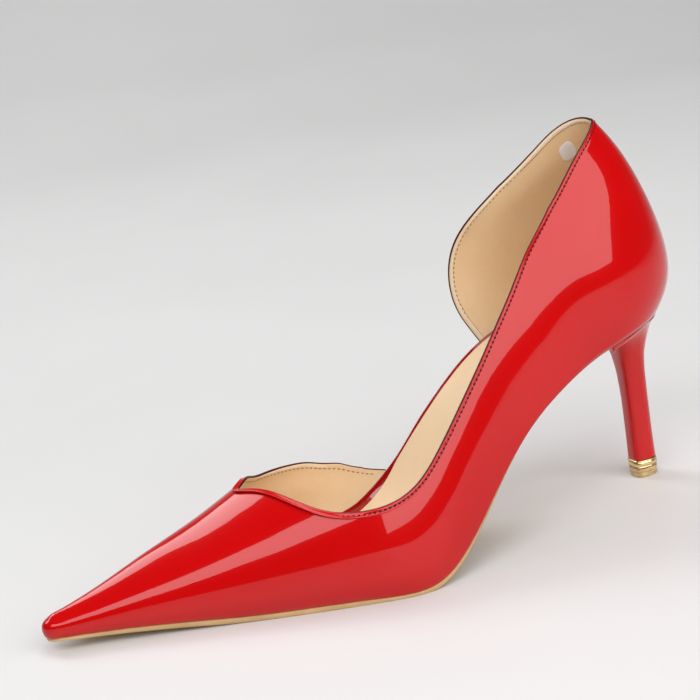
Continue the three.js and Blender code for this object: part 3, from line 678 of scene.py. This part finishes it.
# ---------------------------------------------------------------- bottom: rows across the last
def across(stations, cells, inset, bow=0.0, ts=None):
    """rows across the last's bottom; inset is one figure, one per row, or (outer, inner)"""
    st = np.asarray(stations, float)
    ins_o, ins_i = inset if isinstance(inset, tuple) else (inset, inset)
    o, i = last_point(st, 1, 0, ins_o), last_point(st, -1, 0, ins_i)
    t = np.linspace(0, 1, cells + 1) if ts is None else ts
    e = 2 * t - 1
    x = i[:, :1] + (o[:, :1] - i[:, :1]) * t
    y = i[:, 1:2] + (o[:, 1:2] - i[:, 1:2]) * t + np.asarray(bow, float).reshape(-1, 1) * (1 - e * e)
    return x, y, floor_at(x, y)


fore = np.concatenate([np.linspace(0, 6, 9), np.linspace(6, 40, 20)[1:], np.linspace(40, 200, 90)[1:]])
seat = np.concatenate([np.linspace(202, 232, 20), np.linspace(232, 247, 14)[1:]])


def layered(name, stations, levels, cells, mat, bow=None, ground=None, end_cap=True):
    """levels: (inset, height above the last's bottom) from the under face outward and up to the
    top face; each is an outline, and the first and last are filled across"""
    st = np.asarray(stations, float)
    bow = np.zeros(len(st)) if bow is None else np.asarray(bow)
    verts, faces = [], []
    outlines = []

    def outline(x, y, z):
        a = [(x[i, -1], y[i, -1], z[i, -1]) for i in range(len(st))]
        b = [(x[-1, j], y[-1, j], z[-1, j]) for j in range(cells - 1, 0, -1)]
        c = [(x[i, 0], y[i, 0], z[i, 0]) for i in range(len(st) - 1, 0, -1)]
        return a + b + c
    fills = []
    for k, (inset, height) in enumerate(levels):
        ins = inset(st) if callable(inset) else np.full(len(st), float(inset))
        x, y, z = across(st, cells, ins, bow)
        z = z + (height(y, x) if callable(height) else height)
        if ground is not None:
            z = np.maximum(z, ground)
        outlines.append(outline(x, y, z))
        if k in (0, len(levels) - 1):
            fills.append((x, y, z, k))
    n_out = len(outlines[0])
    for o in outlines:
        verts += o
    for k in range(len(outlines) - 1):
        for j in range(n_out):
            l = (j + 1) % n_out
            faces.append([k * n_out + j, k * n_out + l, (k + 1) * n_out + l, (k + 1) * n_out + j])
    for x, y, z, k in fills:
        base = len(verts)
        verts += [tuple(p) for p in np.stack([x, y, z], -1).reshape(-1, 3)]
        faces += grid_faces(len(st), cells + 1, base=base, flip=(k == 0))
    return make(name, row(np.array(verts)), faces, mat, merge=4e-6)


# insole board wrapped in patent, rolled at its rim; its red is the patent painted darker, as shade inside the shoe
ins_st = np.concatenate([fore, seat])


def smooth01(q):
    q = np.clip(q, 0, 1)
    return q * q * (3 - 2 * q)


def wrap_h(dz):
    return lambda y, x: insole_thick(y) - 0.7 + dz


def wrap_inset(d):
    """the wrapped rim; on the inner side it stands further in where the vamp comes down to it"""
    def f(st):
        return np.full(len(st), float(d)), d + 1.5 * smooth01((st - 116) / 7) * smooth01((152 - st) / 15)
    return f


layered("insole_wrap", ins_st, [
    (wrap_inset(3.4), 0.02), (wrap_inset(2.85), 0.05), (wrap_inset(2.5), 0.4), (wrap_inset(2.4), lambda y, x: 0.5 * insole_thick(y)),
    (wrap_inset(2.4), wrap_h(-0.35)), (wrap_inset(2.5), wrap_h(0.2)), (wrap_inset(2.75), wrap_h(0.58)), (wrap_inset(3.1), wrap_h(0.7)),
    (wrap_inset(3.45), wrap_h(0.62)), (wrap_inset(3.8), wrap_h(0.3)), (wrap_inset(4.2), wrap_h(0.02)), (6.0, wrap_h(-0.03)),
    (9.0, wrap_h(-0.05))], 24, PATENT_WRAP_SHADE)


# the sock: a sheet over thin padding, fuller under the heel. It leaves a narrow red rim along the
# sides; on the inner side its edge runs away from the rim into the vamp
def sock_inset(st, extra=0.0):
    both = 5.6 - 1.75 * smooth01((st - 120) / 26) * smooth01((254 - st) / 20)
    table = np.array([(16, 8.0), (60, 10.5), (100, 10.5), (115, 9.5), (121.6, 8.95), (126.5, 8.5), (130.5, 7.95), (134.4, 6.75),
                      (136.4, 5.9), (138.2, 5.2), (143, 4.3), (150, 3.95)])
    inner = np.where(st < 150, np.interp(st, table[:, 0], table[:, 1]), both)
    return both + extra, inner + extra


def sock_h(dz):
    def f(y, x):
        s = np.clip(y, TOE_Y, HEEL_Y)
        mid = (last_at('footO', s) + last_at('footI', s)) / 2
        w = (last_at('footO', s) - last_at('footI', s)) / 2
        e = np.clip((x - mid) / np.maximum(w - 5, 3), -1, 1)
        pad = np.exp(-((y - 218) / 20) ** 2) * (1 - e ** 2) * 1.0
        return insole_thick(y) - 0.68 + dz + np.maximum(pad, 0)
    return f


sock_st = np.concatenate([np.linspace(16, 40, 16), np.linspace(40, 200, 90)[1:], seat])
sock = layered("sock", sock_st, [
    (lambda s: sock_inset(s, 0.6), sock_h(-0.3)), (lambda s: sock_inset(s, 0.05), sock_h(-0.12)), (lambda s: sock_inset(s), sock_h(0.12)),
    (lambda s: sock_inset(s, 0.12), sock_h(0.3)), (lambda s: sock_inset(s, 0.45), sock_h(0.4)),
    (lambda s: sock_inset(s, 1.0), sock_h(0.44))], 28, SOCK)
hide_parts("insole")
# painted highlight: the sock's faces that don't look up, its cut sides, take the pale colour where the edge catches
# light
sock.data.materials.append(PALE_EDGE_AND_HIGHLIGHT)
for p_ in sock.data.polygons:
    if p_.normal.z < 0.5:
        p_.material_index = 1

# outsole
out_st = np.concatenate([fore, [203.5, 207.0]])
out_bow = np.where(out_st > 200, 11.5 * np.clip((out_st - 200) / 7, 0, 1) ** 0.9, 0.0)
th = lambda f, d=0.0: (lambda y, x: -0.3 - outsole_thick(y) * f + d)
outsole = layered("outsole_leather", out_st, [
    (lambda s: outsole_inset(s) + 1.3, th(1.0)), (lambda s: outsole_inset(s) + 0.5, th(1.0, 0.03)),
    (lambda s: outsole_inset(s) + 0.12, th(0.84)), (lambda s: outsole_inset(s), th(0.6)),
    (lambda s: outsole_inset(s) + 0.02, th(0.25)), (lambda s: outsole_inset(s) + 0.2, th(0.0, 0.1)),
    (lambda s: outsole_inset(s) + 0.8, th(0.0, 0.25))], 24, SOLE, bow=out_bow, ground=0.0)
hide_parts("outsole")
for v in outsole.data.vertices:
    v.co.y -= 0.0007 * float(smooth01((5.0 - (v.co.y / MM + CY)) / 6.0))

# ---------------------------------------------------------------- heel
HEEL = [
    (60.1, 4.4, 215.4, 236.8, 16.0), (57.2, 2.9, 218.0, 235.9, 12.0), (53.8, 1.6, 220.1, 235.1, 8.9),
    (49.5, 0.8, 221.6, 234.1, 6.6), (45.0, 0.3, 222.4, 233.2, 5.2), (38.0, 0, 223.1, 232.8, 4.4),
    (28.0, 0, 223.4, 232.7, 4.0), (16.0, 0, 223.3, 232.6, 4.0), (6.8, 0, 223.2, 232.7, 4.3)]
HEEL_X = 0.4
NF, NS = 18, 34                   # points along the breast and up each side


def heel_ring(front, back, half_width, z, rise=0.0):
    middle, deep = (front + back) / 2, (back - front) / 2
    deg = np.concatenate([225 + 90 * np.arange(NF + 1) / NF, 315 + 270 * np.arange(1, 2 * NS + 1) / (2 * NS + 1)])
    c, s = np.cos(np.radians(deg)), np.sin(np.radians(deg))
    n = np.where(s < 0, 0.55, 0.92)
    along = np.sign(s) * np.abs(s) ** n
    return np.stack([HEEL_X + half_width * np.sign(c) * np.abs(c) ** n, middle + deep * along, z + rise * along / 2], -1)


# rim of the seat: breast from inner to outer side, round the back, and back to the inner side
bx, by, bz = across([207.5], NF, 0.2, [11.8])
breast = np.stack([bx[0], by[0], bz[0] - 0.3], -1)
sid = 207.5 + (247 - 207.5) * (np.arange(1, NS + 1) / (NS + 0.5))
rim_o = last_point(sid, 1, 0, 0.2); rim_i = last_point(sid, -1, 0, 0.2)
rim = np.concatenate([breast, rim_o, rim_i[::-1]])
rim[NF + 1:, 2] = floor_at(rim[NF + 1:, 0], rim[NF + 1:, 1]) - 0.3
edge1 = rim.copy()
edge1[:, 0] = HEEL_X + (rim[:, 0] - HEEL_X) * 0.97
edge1[:, 1] -= np.clip((rim[:, 1] - 212) * 0.06, 0, 0.7)
edge1[:, 2] -= 1.6 - 0.9 * np.clip((rim[:, 1] - 214) / 16, 0, 1)
rings = [rim, edge1] + [heel_ring(f, b, w, z, r) for z, r, f, b, w in HEEL]
rings = np.array(rings)


def keep_shape(xs, ys):
    """cubic through arrays that doesn't overshoot"""
    h = np.diff(xs); d = np.diff(ys, axis=0) / h[:, None, None]
    m = np.empty_like(ys)
    m[0], m[-1] = d[0], d[-1]
    w1 = (2 * h[1:] + h[:-1])[:, None, None]; w2 = (h[1:] + 2 * h[:-1])[:, None, None]
    same = d[:-1] * d[1:] > 0
    safe = lambda a: np.where(same, a, 1.0)
    m[1:-1] = np.where(same, (w1 + w2) / (w1 / safe(d[:-1]) + w2 / safe(d[1:])), 0.0)

    def at(x):
        i = np.clip(np.searchsorted(xs, x, side='right') - 1, 0, len(xs) - 2)
        H = h[i][:, None, None]; t = ((x - xs[i]) / h[i])[:, None, None]
        return (ys[i] * (2 * t ** 3 - 3 * t ** 2 + 1) + H * m[i] * (t ** 3 - 2 * t ** 2 + t)
                + ys[i + 1] * (3 * t ** 2 - 2 * t ** 3) + H * m[i + 1] * (t ** 3 - t ** 2))
    return at


ring_u = np.concatenate([[0], np.cumsum(np.linalg.norm(np.diff(rings, axis=0), axis=2).mean(1))])
ft = keep_shape(ring_u, rings)
ts = np.concatenate([np.linspace(0, ring_u[6], 60), np.linspace(ring_u[6], ring_u[-1], 44)[1:]])
body = ft(ts)
low = body[-1].copy(); low_c = low.mean(0)
extra = [low_c + (low - low_c) * 0.985 + [0, 0, -0.18], low_c + (low - low_c) * 0.93 + [0, 0, -0.24]]
body = np.concatenate([body, np.array(extra)])
nr, mr = body.shape[:2]
V = np.concatenate([body.reshape(-1, 3), [low_c + [0, 0, -0.24]]])
F = grid_faces(nr, mr, closed=True) + [[(nr - 1) * mr + j, (nr - 1) * mr + (j + 1) % mr, nr * mr][::-1] for j in range(mr)]
# seat face
top_c = len(V)
V = np.concatenate([V, [[HEEL_X, 228.0, float(floor_at(np.array([HEEL_X]), np.array([228.0]))[0]) - 0.35]]])
F += [[j, (j + 1) % mr, top_c] for j in range(mr)]
heel = make("heel_covered", row(V), F, PATENT_HEEL, merge=1e-7)
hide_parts("heel")

# the dark line where the heel's cover meets the upper
line = rim[NF + 1:]
T_ = np.gradient(line, axis=0); T_ /= np.linalg.norm(T_, axis=1, keepdims=True)
Nn = np.cross(T_, [0, 0, 1.0]); Nn /= np.linalg.norm(Nn, axis=1, keepdims=True)
g = np.linspace(0, 2 * np.pi, 7)[:-1]
ringp = np.stack([np.cos(g) * 0.17, np.sin(g) * 0.17], -1)
V, F = tube(line + [0, 0, 0.14] - Nn * 0.05, Nn, ringp)
make("heel_seat_line", row(V), F, EDGE)


def collar(name, z0, z1, f0, f1, b0, b1, w0, w1, mat, bevel=0.35, grooves=()):
    prof = [(z1, -bevel * 2.2), (z1, -bevel), (z1 - bevel * .35, -bevel * .3), (z1 - bevel, 0.0)]
    for gz, depth in grooves:
        prof += [(gz + 0.16, 0.0), (gz + 0.06, -depth), (gz - 0.06, -depth), (gz - 0.16, 0.0)]
    prof += [(z0 + bevel, 0.0), (z0 + bevel * .35, -bevel * .3), (z0, -bevel), (z0, -bevel * 2.2)]
    rs = []
    for z, d in prof:
        t = (z - z0) / (z1 - z0)
        rs.append(heel_ring(f0 + (f1 - f0) * t - d, b0 + (b1 - b0) * t + d, w0 + (w1 - w0) * t + d, z))
    rs = np.array(rs); n, m = rs.shape[:2]
    V = np.concatenate([rs.reshape(-1, 3), [rs[0].mean(0)], [rs[-1].mean(0)]])
    F = grid_faces(n, m, closed=True) + [[j, (j + 1) % m, n * m] for j in range(m)] + [[(n - 1) * m + (j + 1) % m, (n - 1) * m + j, n * m + 1] for j in range(m)]
    return make(name, row(V), F, mat, merge=1e-7)


def lift_material():
    m, nt, b = material("lift_amber")
    v = coords(nt, (1, 1, 6))
    w = node(nt, "ShaderNodeTexNoise", Scale=420.0, Detail=3.0)
    nt.links.new(v, w.inputs["Vector"])
    r = ramp(nt, [(0.3, (0.34, 0.19, 0.06, 1)), (0.7, (0.74, 0.52, 0.24, 1))])
    nt.links.new(w.outputs["Fac"], r.inputs["Fac"]); nt.links.new(r.outputs["Color"], b.inputs["Base Color"])
    b.inputs["Roughness"].default_value = 0.18
    b.inputs["Coat Weight"].default_value = 0.8
    b.inputs["Coat Roughness"].default_value = 0.06
    b.inputs["Subsurface Weight"].default_value = 0.0
    bumps(nt, b, [(w.outputs["Fac"], 0.2, 0.0001)])
    return m


LIFT = lift_material()
fer = collar("heel_ferrule_gold", 3.6, 6.5, 223.0, 223.0, 232.9, 232.9, 4.5, 4.5, GOLD, 0.3, [(5.9, 0.12), (4.15, 0.12)])
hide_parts("heel_ferrule")
lift = collar("heel_lift_amber", 0.0, 3.3, 223.2, 223.0, 232.7, 232.8, 4.2, 4.4, LIFT, 0.3, [(1.7, 0.1)])
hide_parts("heel_lift")

# ---------------------------------------------------------------- floor, light, camera
def floor_material():
    m, nt, b = material("floor_pale")
    v = coords(nt)
    n1 = node(nt, "ShaderNodeTexNoise", Scale=6.0, Detail=3.0)
    nt.links.new(v, n1.inputs["Vector"])
    r = ramp(nt, [(0.35, (0.715, 0.71, 0.705, 1)), (0.65, (0.735, 0.73, 0.725, 1))])
    nt.links.new(n1.outputs["Fac"], r.inputs["Fac"]); nt.links.new(r.outputs["Color"], b.inputs["Base Color"])
    b.inputs["Roughness"].default_value = 0.42
    b.inputs["Specular IOR Level"].default_value = 0.35
    return m


fm = bpy.data.meshes.new("floor")
# an even floor that curves up far behind the shoe
xs = [(-1.9, 0.9), (-1.7, 0.45), (-1.45, 0.16), (-1.2, 0.03), (-0.95, 0.0), (3.0, 0.0)]
fv, ff = [], []
for i, (d, z) in enumerate(xs):
    for s in (-3.0, 3.0):
        fv.append((d * 0.93 - s * 0.37, -d * 0.37 * 1.0 - s * 0.93, z))
for i in range(len(xs) - 1):
    ff.append((2 * i, 2 * i + 1, 2 * i + 3, 2 * i + 2))
fm.from_pydata(fv, [], ff)
for p in fm.polygons:
    p.use_smooth = True
floor = bpy.data.objects.new("floor", fm); bpy.context.scene.collection.objects.link(floor)
fm.materials.append(floor_material())

world = bpy.data.worlds.new("studio"); bpy.context.scene.world = world; world.use_nodes = True
bg = world.node_tree.nodes["Background"]
bg.inputs["Color"].default_value = (0.93, 0.95, 1.0, 1); bg.inputs["Strength"].default_value = 0.08


def area(name, loc, target, size, size_y, power, colour=(1, 1, 1)):
    l = bpy.data.lights.new(name, 'AREA'); l.shape = 'RECTANGLE'; l.size = size; l.size_y = size_y
    l.energy = power; l.color = colour
    o = bpy.data.objects.new(name, l); bpy.context.scene.collection.objects.link(o)
    o.location = loc
    o.rotation_euler = (Vector(target) - Vector(loc)).to_track_quat('-Z', 'Y').to_euler()
    return o


def panel(name, az, el, wide, high, dist, radiance, colour=(1, 1, 1)):
    """soft box seen from the shoe at azimuth az (0 toward the toe, 90 toward +X) and elevation el,
    wide and high in degrees; radiance sets how bright it looks"""
    a, e = math.radians(az), math.radians(el)
    d = Vector((math.sin(a) * math.cos(e), -math.cos(a) * math.cos(e), math.sin(e)))
    w = 2 * dist * math.tan(math.radians(wide / 2)); h = 2 * dist * math.tan(math.radians(high / 2))
    return area(name, tuple(d * dist + Vector((0, 0, 0.05))), (0, 0, 0.05), w, h, radiance * math.pi * w * h, colour)


panel("counter_window", 105, 31, 58, 42, 1.5, 2.9)
panel("vamp_window", 43, 45, 34, 27, 1.5, 3.5)
panel("inner_window", -66, 42, 22, 34, 1.5, 4.6)
panel("overhead", 180, 82, 66, 30, 1.6, 2.6)

cam = bpy.data.cameras.new("camera"); cam_o = bpy.data.objects.new("camera", cam)
bpy.context.scene.collection.objects.link(cam_o)
right = Vector((0.4003418697729019, 0.9017719332200248, -0.16289188980227315))
upv = Vector((-0.18381319184324732, 0.25317108926473153, 0.9497984576029311))
fwd = Vector((-0.8977411084556252, 0.35030241223424147, -0.26711256460851335))
cam_o.matrix_world = Matrix((
    (right.x, upv.x, -fwd.x, 0.60643745), (right.y, upv.y, -fwd.y, -0.23969292),
    (right.z, upv.z, -fwd.z, 0.25721374), (0, 0, 0, 1)))
cam.sensor_width = 36.0
cam.sensor_fit = 'HORIZONTAL'
cam.lens = 36.0 * 2000.686 / 700.0
cam.clip_start = 0.01; cam.clip_end = 50
bpy.context.scene.camera = cam_o
bpy.context.scene.view_settings.view_transform = 'Standard'
